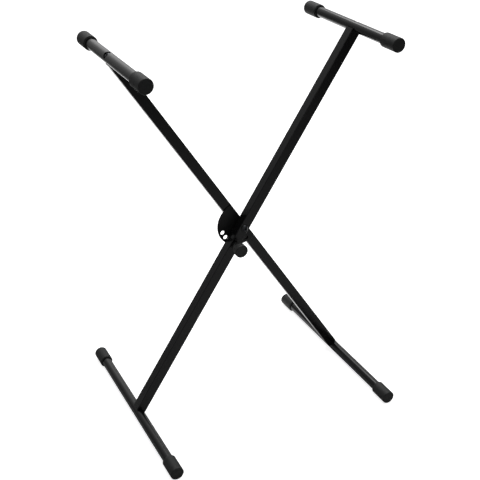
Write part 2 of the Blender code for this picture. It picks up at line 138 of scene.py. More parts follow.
def bolt_setting(tube):
    """The place of a tube's bolt: origin on the tube's axis, Z outwards along the arm."""
    arm = arm_of(tube)
    centre = middle(tube + "_tube")
    outwards = lean_of(arm) + (0 if centre.z > PIVOT.z else pi)
    place = Matrix.Translation((centre.x, ARM_MIDDLE_Y[arm], centre.z))
    return place @ Matrix.Rotation(outwards, 4, "Y")


def plunger_setting(circle):
    """The place of the pull pin: origin in the middle plane, Z towards the back."""
    back = Matrix.Rotation(-pi / 2, 4, "X")
    return arm_setting("front") @ Matrix.Translation((0, 0, -circle)) @ back


class StandSizes(bpy.types.PropertyGroup):
    """Sizes that aren't read from the frame's boxes."""

    arm_wall: FloatProperty(
        name="Arm Wall", description="Wall of the square tube", default=0.0012, unit="LENGTH"
    )
    arm_corner: FloatProperty(
        name="Arm Corner", description="Outside corner radius of the square tube", default=0.0015,
        unit="LENGTH",
    )
    tube_wall: FloatProperty(
        name="Tube Wall", description="Wall of the round tubes", default=0.0012, unit="LENGTH"
    )
    arm_end: FloatProperty(
        name="Arm End", description="Distance from a coped arm end to the tube's axis",
        default=0.0075, unit="LENGTH",
    )
    fit: FloatProperty(
        name="Fit", description="Gap between pieces that are pressed or bolted together",
        default=0.00006, unit="LENGTH",
    )
    edge: FloatProperty(
        name="Coated Edge", description="Rounding of cut steel edges under the coat",
        default=0.00035, unit="LENGTH",
    )
    access_radius: FloatProperty(
        name="Access Hole", description="Radius of the hole over a tube bolt", default=0.009,
        unit="LENGTH",
    )
    bolt_radius: FloatProperty(
        name="Bolt", description="Radius of the bolts", default=0.004, unit="LENGTH"
    )
    bolt_hole: FloatProperty(
        name="Bolt Hole", description="Radius of the holes for the bolts", default=0.0044,
        unit="LENGTH",
    )
    bolt_head: FloatProperty(
        name="Bolt Head", description="Radius of a tube bolt's domed head", default=0.007,
        unit="LENGTH",
    )
    bolt_head_height: FloatProperty(
        name="Bolt Head Height", description="Height of a tube bolt's domed head", default=0.0044,
        unit="LENGTH",
    )
    bolt_head_top: FloatProperty(
        name="Bolt Head Top", description="Distance of a tube bolt's top from the tube's axis",
        default=0.0116, unit="LENGTH",
    )
    bolt_end: FloatProperty(
        name="Bolt End", description="Distance of a tube bolt's end from the tube's axis",
        default=0.0285, unit="LENGTH",
    )
    bolt_socket: FloatProperty(
        name="Bolt Socket", description="A tube bolt's hexagon socket across its flats",
        default=0.005, unit="LENGTH",
    )
    pivot_radius: FloatProperty(
        name="Pivot Bolt", description="Radius of the pivot bolt", default=0.005, unit="LENGTH"
    )
    pivot_hole: FloatProperty(
        name="Pivot Bolt Hole", description="Radius of the holes for the pivot bolt",
        default=0.0054, unit="LENGTH",
    )
    pivot_head: FloatProperty(
        name="Pivot Head", description="Radius of the pivot bolt's domed head", default=0.00875,
        unit="LENGTH",
    )
    pivot_head_height: FloatProperty(
        name="Pivot Head Height", description="Height of the pivot bolt's domed head",
        default=0.0055, unit="LENGTH",
    )
    pivot_socket: FloatProperty(
        name="Pivot Socket", description="The pivot's hexagon socket across its flats",
        default=0.006, unit="LENGTH",
    )
    nut_barrel: FloatProperty(
        name="Nut Barrel", description="Radius of the pivot nut's barrel", default=0.0066,
        unit="LENGTH",
    )
    washer_radius: FloatProperty(
        name="Washer", description="Radius of the pivot washer", default=0.012, unit="LENGTH"
    )
    knob_head: FloatProperty(
        name="Knob Head", description="Thickness of the pull knob's head", default=0.0164,
        unit="LENGTH",
    )
    cap_end: FloatProperty(
        name="Cap End", description="Thickness of a cap's closed end", default=0.005, unit="LENGTH"
    )
    cap_fillet: FloatProperty(
        name="Cap Fillet", description="Rounding of a cap's closed end", default=0.0024,
        unit="LENGTH",
    )
    cap_chamfer: FloatProperty(
        name="Cap Chamfer", description="Width of the shallow chamfer at a cap's open end",
        default=0.0024, unit="LENGTH",
    )
    hole_circle: FloatProperty(
        name="Hole Circle", description="Distance of the pull pin from the pivot", default=0.0475,
        unit="LENGTH",
    )
    hole_pitch: FloatProperty(
        name="Hole Pitch", description="Angle from one plate hole to the next",
        default=radians(19), subtype="ANGLE",
    )
    hole_radius: FloatProperty(
        name="Plate Hole", description="Radius of the pin's holes in the plate", default=0.0056,
        unit="LENGTH",
    )
    plate_radius: FloatProperty(
        name="Plate", description="Radius of the locking plate", default=0.058, unit="LENGTH"
    )
    plate_chord: FloatProperty(
        name="Plate Chord", description="Distance of the plate's straight edge from the pivot",
        default=0.0122, unit="LENGTH",
    )
    weld_length: FloatProperty(
        name="Weld Length", description="Length of the weld bead at the plate's rim",
        default=0.012, unit="LENGTH",
    )
    weld_leg: FloatProperty(
        name="Weld Leg", description="Height of the weld bead, and half its width",
        default=0.0025, unit="LENGTH",
    )
    pin_radius: FloatProperty(
        name="Pin", description="Radius of the locking pin", default=0.005, unit="LENGTH"
    )
    round_steps: IntProperty(
        name="Round Steps", description="Steps round a turned piece", default=96, min=24, max=192
    )


class StandFinishes(bpy.types.PropertyGroup):
    """Colours of the stand, as sRGB hex values."""

    coat: StringProperty(
        name="Coat", description="Colour of the powder coat on arms and tubes", default="#0a0a0b"
    )
    rubber: StringProperty(name="Rubber", description="Colour of the end caps", default="#141515")
    nylon: StringProperty(name="Nylon", description="Colour of the knob and bush", default="#151616")
    black_steel: StringProperty(
        name="Black Steel", description="Colour of the blackened bolts", default="#4a4b4e"
    )
    zinc: StringProperty(name="Zinc", description="Colour of the zinc plate", default="#c6c9cc")
    black_zinc: StringProperty(
        name="Black Zinc", description="Colour of the pivot washer", default="#3a3b3d"
    )
    spring: StringProperty(name="Spring Steel", description="Colour of spring wire", default="#9b9ea2")
    turned_steel: StringProperty(
        name="Turned Steel", description="Colour of the plain steel inserts", default="#a3a3a4"
    )
    floor: StringProperty(name="Floor", description="Colour of the studio floor", default="#f2f2f2")
    # painted shade: the grey that gloss sees on the floor in front of the stand, standing in for a dark
    # room
    painted_dim_floor: StringProperty(
        name="Dim Floor", description="Colour of the floor on the camera's side, as gloss sees it",
        default="#a8a8a8",
    )
    coat_roughness: FloatProperty(
        name="Coat Roughness", description="Roughness of the powder coat", default=0.19,
        min=0, max=1, subtype="FACTOR",
    )
    plate_roughness: FloatProperty(
        name="Plate Roughness", description="Roughness of the duller coat on the locking plate",
        default=0.45, min=0, max=1, subtype="FACTOR",
    )


class StandStudio(bpy.types.PropertyGroup):
    """Camera, lamps and floor."""

    eye: FloatVectorProperty(
        name="Eye", description="Place of the camera", default=(-0.86398, -1.70699, 1.47171),
        subtype="TRANSLATION", unit="LENGTH",
    )
    heading: FloatProperty(
        name="Heading", description="Turn of the camera from +Y towards +X", default=radians(26.34),
        subtype="ANGLE",
    )
    dip: FloatProperty(
        name="Dip", description="Angle of the camera below the horizon", default=radians(28.37),
        subtype="ANGLE",
    )
    roll: FloatProperty(
        name="Roll", description="Turn of the camera about its line of sight",
        default=radians(-0.43), subtype="ANGLE",
    )
    lens: FloatProperty(name="Lens", description="Focal length in millimetres", default=66.63)
    shift: FloatVectorProperty(
        name="Shift", description="Shift of the picture in parts of its width", size=2,
        default=(0.01727, -0.01019),
    )
    floor_radius: FloatProperty(
        name="Floor", description="Radius of the round floor", default=6.0, unit="LENGTH"
    )
    ceiling_power: FloatProperty(
        name="Ceiling Lamp", description="Power of the softbox over the stand", default=50.0,
        unit="POWER",
    )
    rear_power: FloatProperty(
        name="Rear Lamp", description="Power of the softbox behind the stand", default=1.5,
        unit="POWER",
    )
    key_power: FloatProperty(
        name="Key Lamp", description="Power of the small softbox beside the camera", default=2.5,
        unit="POWER",
    )
    ambient: FloatProperty(
        name="Ambient", description="Strength of the plain light from all round", default=0.3
    )
    backdrop: FloatVectorProperty(
        name="Backdrop", description="Direction of the backdrop's middle, seen from the stand",
        default=(0.252, 0.878, 0.407), subtype="DIRECTION",
    )
    room: FloatProperty(
        name="Room", description="Strength of the room away from the backdrop, as gloss sees it",
        default=0.15,
    )


def sizes():
    return bpy.context.scene.stand_sizes


def deselect_all():
    if bpy.context.mode != "OBJECT":
        bpy.ops.object.mode_set(mode="OBJECT")
    bpy.ops.object.select_all(action="DESELECT")


def activate(item):
    deselect_all()
    item.select_set(True)
    bpy.context.view_layer.objects.active = item


def named(name):
    """Name the primitive that was just added, and settle its place in its mesh."""
    item = bpy.context.active_object
    item.name = name
    item.data.name = name
    bpy.ops.object.transform_apply(location=True, rotation=True, scale=True)
    return item


def pick(item, kind, wanted):
    """Go into edit mode with only the wanted vertices, edges or faces selected."""
    activate(item)
    bpy.ops.object.mode_set(mode="EDIT")
    bpy.ops.mesh.select_mode(type=kind)
    bpy.ops.mesh.select_all(action="DESELECT")
    shape = bmesh.from_edit_mesh(item.data)
    parts = {"VERT": shape.verts, "EDGE": shape.edges, "FACE": shape.faces}[kind]
    for part in parts:
        part.select_set(bool(wanted(part)))
    bmesh.update_edit_mesh(item.data)


def modify(item, kind, **settings):
    """Add one modifier with its settings and apply it."""
    activate(item)
    modifier = item.modifiers.new(kind.lower(), kind)
    for name, value in settings.items():
        setattr(modifier, name, value)
    bpy.ops.object.modifier_apply(modifier=modifier.name)


def rod(name, radius, low, high, steps=None):
    """A solid cylinder about Z."""
    deselect_all()
    bpy.ops.mesh.primitive_cylinder_add(
        vertices=steps or sizes().round_steps, radius=radius, depth=high - low,
        location=(0, 0, (low + high) / 2),
    )
    return named(name)


def arc(centre, radius, start, end, steps=5):
    """Points on a circle, from one angle to another, both ends included."""
    angles = [start + (end - start) * i / steps for i in range(steps + 1)]
    return [(centre[0] + radius * cos(a), centre[1] + radius * sin(a)) for a in angles]


def turned(name, outline):
    """Trace a (radius, height) outline from one vertex and spin it about Z.

    An outline that stays off the axis ends where it starts.
    """
    deselect_all()
    radius, height = outline[0]
    bpy.ops.mesh.primitive_plane_add(size=0.001, location=(radius, 0, height))
    item = named(name)
    bpy.ops.object.mode_set(mode="EDIT")
    bpy.ops.mesh.select_mode(type="VERT")
    bpy.ops.mesh.select_all(action="SELECT")
    bpy.ops.mesh.merge(type="CENTER")
    for (r0, z0), (r1, z1) in zip(outline, outline[1:]):
        bpy.ops.mesh.extrude_vertices_move(TRANSFORM_OT_translate={"value": (r1 - r0, 0, z1 - z0)})
    bpy.ops.mesh.select_all(action="SELECT")
    bpy.ops.mesh.spin(steps=sizes().round_steps, angle=2 * pi, center=(0, 0, 0), axis=(0, 0, 1))
    bpy.ops.mesh.select_all(action="SELECT")
    bpy.ops.mesh.remove_doubles(threshold=TINY)
    bpy.ops.mesh.normals_make_consistent(inside=False)
    bpy.ops.object.mode_set(mode="OBJECT")
    return item


def cut(item, cutter, setting=None):
    """Take the cutter's volume out of the item, and throw the cutter away."""
    if setting is not None:
        settle(cutter, setting)
    modify(item, "BOOLEAN", object=cutter, operation="DIFFERENCE", solver="EXACT")
    bpy.data.objects.remove(cutter, do_unlink=True)


def settle(item, setting):
    """Set a piece in place and keep that place in its mesh."""
    activate(item)
    item.matrix_world = setting
    bpy.ops.object.transform_apply(location=True, rotation=True, scale=True)


def soften(item, width, sharpest=radians(40)):
    """Round the sharp edges a little, as a coat or a mould does, and shade flat faces flat."""
    if width:
        modify(
            item, "BEVEL", width=width, segments=2, limit_method="ANGLE", angle_limit=sharpest,
            use_clamp_overlap=True, harden_normals=False,
        )
    activate(item)
    bpy.ops.object.shade_smooth_by_angle(angle=sharpest)
    modify(item, "WEIGHTED_NORMAL", keep_sharp=True, weight=50)


def twin(item, name):
    """A copy with a mesh of its own."""
    activate(item)
    bpy.ops.object.duplicate(linked=False)
    copy = bpy.context.active_object
    copy.name = name
    copy.data.name = name
    return copy


def hand_over(item, node, body, material):
    """Give a finished piece its material and its body, and hide the CAD node it stands for."""
    item.data.materials.clear()
    item.data.materials.append(material)
    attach(item, body)
    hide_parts(node)


def linear(hex_colour):
    """Linear RGBA from an sRGB hex value."""
    channels = [int(hex_colour[i : i + 2], 16) / 255 for i in (1, 3, 5)]
    steps = [c / 12.92 if c <= 0.04045 else ((c + 0.055) / 1.055) ** 2.4 for c in channels]
    return (*steps, 1.0)


def add_node(tree, kind, links=(), **settings):
    """Add a node, set its own fields, then give each named input a value or a link."""
    node = tree.nodes.new(kind)
    for name, value in settings.items():
        setattr(node, name, value)
    for socket, source in dict(links).items():
        if isinstance(source, bpy.types.NodeSocket):
            tree.links.new(source, node.inputs[socket])
        else:
            node.inputs[socket].default_value = source
    return node


def new_material(name):
    """A material with an empty node tree."""
    material = bpy.data.materials.new(name)
    material.use_nodes = True
    material.node_tree.nodes.clear()
    return material


def mottled(name, hex_colour, shades, roughness, lump, detail, relief=None, **sockets):
    """A finish whose colour and roughness wander in lumps of a given size, in metres.

    The shades are its darkest and lightest share of the colour, and the roughness its lowest and
    highest. A relief is the size of its bumps, how strongly they show and how deep they are.
    """
    material = new_material(name)
    tree = material.node_tree
    place = add_node(tree, "ShaderNodeTexCoord").outputs["Object"]
    lumps = add_node(
        tree, "ShaderNodeTexNoise", {"Vector": place, "Scale": 1 / lump, "Detail": detail}
    ).outputs["Fac"]
    red, green, blue, opaque = linear(hex_colour)
    dark, light = ((red * share, green * share, blue * share, opaque) for share in shades)
    tint = add_node(
        tree, "ShaderNodeMix", {0: lumps, 6: dark, 7: light}, data_type="RGBA", clamp_factor=True
    )
    smooth, rough = roughness
    # the noise seldom leaves 0.3 to 0.7, so that range takes the whole span of roughness
    wear = add_node(
        tree, "ShaderNodeMapRange",
        {"Value": lumps, "From Min": 0.3, "From Max": 0.7, "To Min": smooth, "To Max": rough},
    )
    sockets.update({"Base Color": tint.outputs[2], "Roughness": wear.outputs["Result"]})
    if relief:
        size, strength, depth = relief
        bumps = add_node(
            tree, "ShaderNodeTexNoise", {"Vector": place, "Scale": 1 / size, "Detail": detail}
        ).outputs["Fac"]
        bump = add_node(
            tree, "ShaderNodeBump", {"Height": bumps, "Strength": strength, "Distance": depth}
        )
        sockets["Normal"] = bump.outputs["Normal"]
    shader = add_node(tree, "ShaderNodeBsdfPrincipled", sockets)
    add_node(tree, "ShaderNodeOutputMaterial", {"Surface": shader.outputs["BSDF"]})
    return material


def powder_coat(name, finishes, rough):
    """Black powder coat, sprayed and baked, in patches 40 mm across.

    It has a faint orange peel, of lumps about 1.6 mm across.
    """
    return mottled(
        name, finishes.coat, (0.85, 1.15), (rough - 0.03, rough + 0.03), 0.04, 2.0,
        relief=(0.0016, 0.10, 0.00004), IOR=1.5,
    )


def tube_coat(finishes):
    """Semi-gloss powder coat on smooth steel tube: it mirrors what is round it, a little blurred."""
    return powder_coat("semi_gloss_black_powder_coat", finishes, finishes.coat_roughness)


def plate_coat(finishes):
    """Thinner powder coat on blasted steel plate: it is duller and mirrors nothing sharply."""
    return powder_coat("dull_black_powder_coat", finishes, finishes.plate_roughness)


def moulded_rubber(finishes):
    """Black rubber, moulded in a spark-eroded tool.

    It gives a matt, mottled skin. The tool's 0.1 mm grit is drawn 1.8 mm across, or it wouldn't show.
    """
    return mottled(
        "black_moulded_rubber", finishes.rubber, (0.8, 1.25), (0.55, 0.7), 0.0018, 4.0,
        relief=(0.0018, 0.3, 0.0001), IOR=1.5,
    )


def moulded_nylon(finishes):
    """Black glass-filled nylon, injection moulded: satin, with a fine texture of 0.8 mm lumps."""
    return mottled(
        "black_glass_filled_nylon", finishes.nylon, (0.9, 1.1), (0.38, 0.46), 0.0008, 3.0,
        relief=(0.0008, 0.3, 0.00005), IOR=1.53,
    )


def bare_metal(name, hex_colour, roughness, lump):
    """A metal with a fine unevenness of the given size."""
    return mottled(name, hex_colour, (0.88, 1.08), roughness, lump, 3.0, Metallic=1.0)


def black_steel(finishes):
    """Steel bolts blackened in hot oxide: dark, with a dull satin shine."""
    return bare_metal("blackened_steel", finishes.black_steel, (0.30, 0.42), 0.002)


def zinc_plate(finishes):
    """Bright zinc on steel: pale, a little blue, with cloudy patches about 3 mm across."""
    return bare_metal("bright_zinc_plate", finishes.zinc, (0.22, 0.34), 0.003)


def black_zinc(finishes):
    """Zinc plate passivated black: dark and a little cloudy."""
    return bare_metal("black_passivated_zinc", finishes.black_zinc, (0.35, 0.45), 0.003)


def spring_wire(finishes):
    """Hard-drawn spring wire, smooth and grey."""
    return bare_metal("drawn_spring_wire", finishes.spring, (0.20, 0.30), 0.0015)


def turned_steel(finishes):
    """Plain free-cutting steel, turned and left bare: grey, with a soft shine."""
    return bare_metal("turned_steel", finishes.turned_steel, (0.30, 0.45), 0.001)


MAKERS = {
    "coat": tube_coat, "plate": plate_coat, "rubber": moulded_rubber, "nylon": moulded_nylon,
    "bolt": black_steel, "zinc": zinc_plate, "washer": black_zinc, "spring": spring_wire,
    "insert": turned_steel,
}
MADE = {}


def finish_of(key):
    """The material of one kind, made the first time that it is asked for."""
    if key not in MADE:
        MADE[key] = MAKERS[key](bpy.context.scene.stand_finishes)
    return MADE[key]


def square_bar(name, side, low, high):
    """A solid square bar about Z."""
    deselect_all()
    bpy.ops.mesh.primitive_cube_add(
        size=1, location=(0, 0, (low + high) / 2), scale=(side, side, high - low)
    )
    return named(name)


def square_tube(name, low, high):
    """A square tube about Z, rounded outside and sharp inside, open at both ends."""
    size = sizes()
    tube = square_bar(name, ARM_SIZE, low, high)
    pick(tube, "EDGE", lambda edge: abs(edge.verts[0].co.z - edge.verts[1].co.z) > TINY)
    bpy.ops.mesh.bevel(offset=size.arm_corner, segments=6)
    cut(tube, square_bar("tube_core", ARM_SIZE - 2 * size.arm_wall, low - ARM_SIZE, high + ARM_SIZE))
    return tube


def stepped_drill(name, wide, narrow, step, reach):
    """A cutter about Z: narrow up to the step, wide beyond it."""
    outline = [(0, 0), (narrow, 0), (narrow, step), (wide, step), (wide, reach), (0, reach)]
    return turned(name, outline)


class STAND_OT_arms(bpy.types.Operator):
    """Square tubes with rounded corners, ends coped round the cross tubes, and their holes"""

    bl_idname = "stand.arms"
    bl_label = "Arms"

    def execute(self, context):
        for arm, top, bottom in (
            ("front", "right_support", "left_foot"),
            ("rear", "left_support", "right_foot"),
        ):
            self.make(arm, reach_of(top), reach_of(bottom))
        return {"FINISHED"}

    def make(self, arm, top, bottom):
        size = sizes()
        tube = square_tube(arm + "_arm_tube", size.arm_end - bottom, top - size.arm_end)
        across = Matrix.Rotation(pi / 2, 4, "X")
        for height in (top, -bottom):
            cope = rod("cope", TUBE_RADIUS + size.fit, -ARM_SIZE, ARM_SIZE)
            cut(tube, cope, Matrix.Translation((0, 0, height)) @ across)
        centre = ARM_MIDDLE_Y[arm] - PIVOT.y
        outer = abs(centre) + ARM_SIZE
        towards = Matrix.Rotation(pi / 2 if arm == "front" else -pi / 2, 4, "X")
        outer_hole = size.pivot_hole if arm == "front" else size.nut_barrel + size.fit
        drill = stepped_drill("pivot_drill", outer_hole, size.pivot_hole, abs(centre), outer)
        cut(tube, drill, Matrix.Translation((0, -centre, 0)) @ towards)
        if arm == "front":
            self.drill_for_pin(tube, centre, outer)
        soften(tube, size.edge)
        settle(tube, arm_setting(arm) @ Matrix.Translation((0, centre, 0)))
        hand_over(tube, arm + "_arm", body_of(arm), finish_of("coat"))

    def drill_for_pin(self, tube, centre, outer):
        size = sizes()
        bush_play, pin_play = 0.0001, 0.0002
        bush_hole, pin_hole = BUSH_BARREL + bush_play, size.pin_radius + pin_play
        drill = stepped_drill("pin_drill", bush_hole, pin_hole, abs(centre), outer)
        place = Matrix.Translation((0, -centre, -size.hole_circle))
        cut(tube, drill, place @ Matrix.Rotation(pi / 2, 4, "X"))


class STAND_OT_cross_tubes(bpy.types.Operator):
    """Round support and foot tubes, each with an access hole and a bolt hole"""

    bl_idname = "stand.cross_tubes"
    bl_label = "Cross Tubes"

    def execute(self, context):
        size = sizes()
        for name in TUBES:
            low, high = span(name + "_tube", 1)
            outer, inner = TUBE_RADIUS, TUBE_RADIUS - size.tube_wall
            outline = [(inner, low), (outer, low), (outer, high), (inner, high), (inner, low)]
            tube = turned(name + "_round_tube", outline)
            centre = middle(name + "_tube")
            settle(
                tube,
                Matrix.Translation((centre.x, 0, centre.z)) @ Matrix.Rotation(-pi / 2, 4, "X"),
            )
            reach = 2 * TUBE_RADIUS
            access = rod("access_drill", size.access_radius, 0, reach)
            cut(tube, access, bolt_setting(name))
            bolt = rod("bolt_drill", size.bolt_hole, -reach, 0)
            cut(tube, bolt, bolt_setting(name))
            soften(tube, size.edge)
            hand_over(
                tube, name + "_tube", body_of(arm_of(name)), finish_of("coat")
            )
        return {"FINISHED"}


class STAND_OT_end_caps(bpy.types.Operator):
    """Thick rubber cups over the tube ends"""

    bl_idname = "stand.end_caps"
    bl_label = "End Caps"

    def execute(self, context):
        cap = self.make_cup()
        for name in TUBES:
            centre = middle(name + "_tube")
            for side in ("front", "rear"):
                node = f"{name}_{side}_cap"
                low, high = span(node, 1)
                closed, turn = (low, -pi / 2) if side == "front" else (high, pi / 2)
                cup = twin(cap, node.replace("_cap", "_rubber_cap"))
                place = Matrix.Translation((centre.x, closed, centre.z))
                settle(cup, place @ Matrix.Rotation(turn, 4, "X"))
                hand_over(cup, node, body_of(arm_of(name)), finish_of("rubber"))
        bpy.data.objects.remove(cap, do_unlink=True)
        return {"FINISHED"}

    def make_cup(self):
        size = sizes()
        fillet, chamfer = size.cap_fillet, size.cap_chamfer
        bore = TUBE_RADIUS + size.fit
        soft, slope = 0.0005, radians(28)    # radius of the shoulder and slope of the chamfer
        shoulder = CAP_LENGTH - chamfer * tan(slope) - soft
        outline = [(0, 0)] + arc((CAP_RADIUS - fillet, fillet), fillet, -pi / 2, 0, 6)
        outline += arc((CAP_RADIUS - soft, shoulder), soft, 0, pi / 2 - slope, 4)
        outline += [(CAP_RADIUS - soft - chamfer, CAP_LENGTH)]
        outline += [(bore, CAP_LENGTH), (bore, size.cap_end), (0, size.cap_end)]
        cup = turned("cup", outline)
        soften(cup, 0)
        return cup


def button_head(radius, seat, top):
    """Outline of a domed bolt head, from its seat out and round to the axis."""
    soft = 0.0002
    flat, rim = HEAD_FLAT * radius, seat + HEAD_RIM
    # height of the centre, on the axis, of the circle that joins the rim to the flat
    centre = (radius**2 - flat**2 + rim**2 - top**2) / (2 * (rim - top))
    low, high = atan2(rim - centre, radius), atan2(top - centre, flat)
    dome = arc((0, centre), hypot(flat, top - centre), low, high, 14)
    return arc((radius - soft, seat + soft), soft, -pi / 2, 0, 3) + dome + [(0, top)]


def socket_cutters(flats, top, depth):
    """A hexagon socket and the countersink at its mouth."""
    corner = flats / 2 / cos(pi / 6)
    lead, flare = 0.0004, 0.0002
    sink = [(0, top - corner / 2), (flats / 2, top - lead), (corner + flare, top + lead)]
    return (
        rod("socket", corner, top - depth, top + depth, 6),
        turned("countersink", sink + [(0, top + lead)]),
    )


class STAND_OT_tube_bolts(bpy.types.Operator):
    """Button-head socket bolts that hold the cross tubes to the arms"""

    bl_idname = "stand.tube_bolts"
    bl_label = "Tube Bolts"

    def execute(self, context):
        bolt = self.make_bolt()
        for name in TUBES:
            copy = twin(bolt, name + "_socket_bolt")
            settle(copy, bolt_setting(name))
            hand_over(
                copy, name + "_bolt", body_of(arm_of(name)), finish_of("bolt")
            )
        bpy.data.objects.remove(bolt, do_unlink=True)
        return {"FINISHED"}

    def make_bolt(self):
        size = sizes()
        top, end, socket_depth = size.bolt_head_top, -size.bolt_end, 0.0024
        seat = top - size.bolt_head_height
        outline = [(0, end), (size.bolt_radius - BOLT_TIP, end), (size.bolt_radius, end + BOLT_TIP)]
        outline += [(size.bolt_radius, seat)] + button_head(size.bolt_head, seat, top)
        bolt = turned("bolt", outline)
        for cutter in socket_cutters(size.bolt_socket, top, socket_depth):
            cut(bolt, cutter)
        soften(bolt, 0)
        return bolt


class STAND_OT_locking_plate(bpy.types.Operator):
    """D-shaped plate with the ring of holes that the pull pin enters"""

    bl_idname = "stand.locking_plate"
    bl_label = "Locking Plate"

    def execute(self, context):
        size = sizes()
        front, back = PLATE_FACES
        plate = rod("locking_plate_steel", size.plate_radius, -back, -front, PLATE_STEPS)
        pick(plate, "FACE", lambda face: True)
        bpy.ops.mesh.bisect(
            plane_co=(size.plate_chord, 0, 0), plane_no=(1, 0, 0), use_fill=True, clear_outer=True
        )
        cut(plate, rod("pivot_drill", size.pivot_hole, -ARM_SIZE, ARM_SIZE))
        open_angle = lean_of("front") - lean_of("rear")
        for step in HOLE_STEPS:
            angle = open_angle + step * size.hole_pitch
            place = (-size.hole_circle * sin(angle), -size.hole_circle * cos(angle), 0)
            drill = rod("pin_drill", size.hole_radius, -ARM_SIZE, ARM_SIZE)
            cut(plate, drill, Matrix.Translation(place))
        soften(plate, size.edge)
        bead = self.make_bead(-back)
        modify(plate, "BOOLEAN", object=bead, operation="UNION", solver="EXACT")
        bpy.data.objects.remove(bead, do_unlink=True)
        soften(plate, 0)
        settle(plate, arm_setting("rear") @ Matrix.Rotation(pi / 2, 4, "X"))
        hand_over(plate, "locking_plate", "rear_frame", finish_of("plate"))
        return {"FINISHED"}

    def make_bead(self, seat):
        """A short weld bead along the plate's rim, over the middle of the rear arm."""
        size = sizes()
        share_off_rim = 0.7    # of the bead's half width, from the plate's rim to the bead's middle
        deselect_all()
        bpy.ops.mesh.primitive_uv_sphere_add(
            segments=32, ring_count=16, radius=1,
            location=(0, -size.plate_radius - share_off_rim * size.weld_leg, seat),
            scale=(size.weld_length / 2, size.weld_leg, size.weld_leg),
        )
        bead = named("weld_bead")
        pick(bead, "FACE", lambda face: True)
        bpy.ops.mesh.bisect(
            plane_co=(0, 0, seat), plane_no=(0, 0, 1), use_fill=True, clear_inner=True
        )
        bpy.ops.object.mode_set(mode="OBJECT")
        return bead


class STAND_OT_pivot(bpy.types.Operator):
    """Pivot bolt, its sleeve nut and the washer between front arm and plate"""

    bl_idname = "stand.pivot"
    bl_label = "Pivot"

    def execute(self, context):
        size = sizes()
        nut_start, spare_thread, socket_depth = 0.010, 0.001, 0.003
        seat = PIVOT_HEAD - size.pivot_head_height
        head = button_head(size.pivot_head, seat, PIVOT_HEAD)
        bolt = [(0, -PIVOT_BOLT_END), (size.pivot_radius - BOLT_TIP, -PIVOT_BOLT_END)]
        bolt += [(size.pivot_radius, BOLT_TIP - PIVOT_BOLT_END), (size.pivot_radius, seat)]
        bore, bore_end = size.pivot_radius + size.fit, PIVOT_BOLT_END + spare_thread
        nut = [(0, bore_end), (bore, bore_end), (bore, nut_start)]
        nut += [(size.nut_barrel, nut_start), (size.nut_barrel, seat)]
        forwards, backwards = Matrix.Rotation(pi / 2, 4, "X"), Matrix.Rotation(-pi / 2, 4, "X")
        for name, node, outline, turn in (
            ("pivot_socket_bolt", "pivot_bolt", bolt, forwards),
            ("pivot_sleeve_nut", "pivot_nut", nut, backwards),
        ):
            piece = turned(name, outline + head)
            for cutter in socket_cutters(size.pivot_socket, PIVOT_HEAD, socket_depth):
                cut(piece, cutter)
            soften(piece, 0)
            settle(piece, arm_setting("rear") @ turn)
            hand_over(piece, node, "rear_frame", finish_of("bolt"))
        low, high = WASHER_FACES
        outer = size.washer_radius
        outline = [(bore, low), (outer, low), (outer, high), (bore, high), (bore, low)]
        washer = turned("pivot_flat_washer", outline)
        soften(washer, 0.0002)
        settle(washer, arm_setting("rear") @ backwards)
        hand_over(washer, "pivot_washer", "rear_frame", finish_of("washer"))
        return {"FINISHED"}


